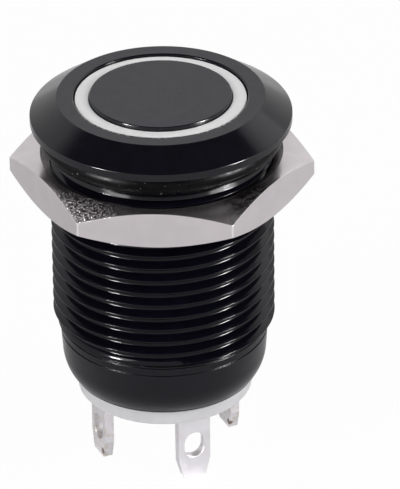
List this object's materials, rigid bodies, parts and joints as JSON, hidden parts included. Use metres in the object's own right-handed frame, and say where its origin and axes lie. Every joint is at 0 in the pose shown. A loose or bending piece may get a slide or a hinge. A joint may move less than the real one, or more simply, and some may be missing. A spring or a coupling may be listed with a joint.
{
  "type": "illuminated push button switch",
  "caption": "Panel push button with a bevelled black metal head, flush round button in a lit ring, threaded barrel, rubber seal, hex nut and solder lugs.",
  "frame": {"origin": "on the switch's axis, in the plane of the head's underside, where the front of the panel sits", "axes": "+Z out of the panel through the button; -Y towards the side with the lug that faces the viewer; the lugs are turned 22.7 degrees from the axes"},
  "size_m": [0.0164, 0.0146, 0.0217],
  "materials": {
    "black_anodised_metal": "satin black anodised",
    "black_rubber": "matt moulded rubber",
    "nickel_plate": "satin nickel plate",
    "milky_plastic": "milky translucent light guide",
    "black_plastic": "moulded, slightly matt",
    "spring_steel": "drawn spring wire",
    "contact_brass": "stamped strip",
    "silver": "silver contact alloy",
    "silver_plate": "silver-plated brass strip",
    "white_plastic": "moulded white",
    "resin": "cast sealing resin",
    "board": "white solder mask",
    "led_body": "yellow lens over the chip",
    "chip_black": "coated ceramic",
    "tinned_wire": "tinned copper"
  },
  "bodies": {
    "switch_body": {"body_shell": "black_anodised_metal", "panel_seal": "black_rubber", "light_ring": "milky_plastic", "return_spring": "spring_steel", "common_terminal": "silver_plate", "normally_open_terminal": "silver_plate", "common_tip": "silver", "normally_open_tip": "silver", "led_plus_terminal": "silver_plate", "led_minus_terminal": "silver_plate", "terminal_base": "white_plastic", "sealing_resin": "resin", "contact_housing": "black_plastic", "led_board": "board", "led_a": "led_body", "led_b": "led_body", "resistor": "chip_black", "led_plus_lead": "tinned_wire", "led_minus_lead": "tinned_wire"},
    "button": {"button_cap": "black_anodised_metal", "plunger": "black_plastic", "button_seal": "black_rubber", "retaining_clip": "spring_steel", "contact_spring": "spring_steel"},
    "moving_contact": {"contact_bridge": "contact_brass", "bridge_tips": "silver"},
    "nut": {"hex_nut": "nickel_plate"}
  },
  "joints": [
    {"name": "button_press", "type": "slide", "parent": "switch_body", "child": "button", "axis": [0, 0, -1], "range_m": [0, 0.0012], "stiffness_N_per_m": 1200, "springref_m": -0.0012, "deforming": ["return_spring"]},
    {"name": "contact_lift", "type": "slide", "parent": "button", "child": "moving_contact", "axis": [0, 0, 1], "range_m": [0, 0.0003], "deforming": ["contact_spring"]},
    {"name": "nut_run", "type": "slide", "parent": "switch_body", "child": "nut", "axis": [0, 0, -1], "range_m": [0, 0.0079]}
  ],
  "couplings": [
    {"joint": "contact_lift", "follows": "button_press", "ratio": 0.25}
  ]
}
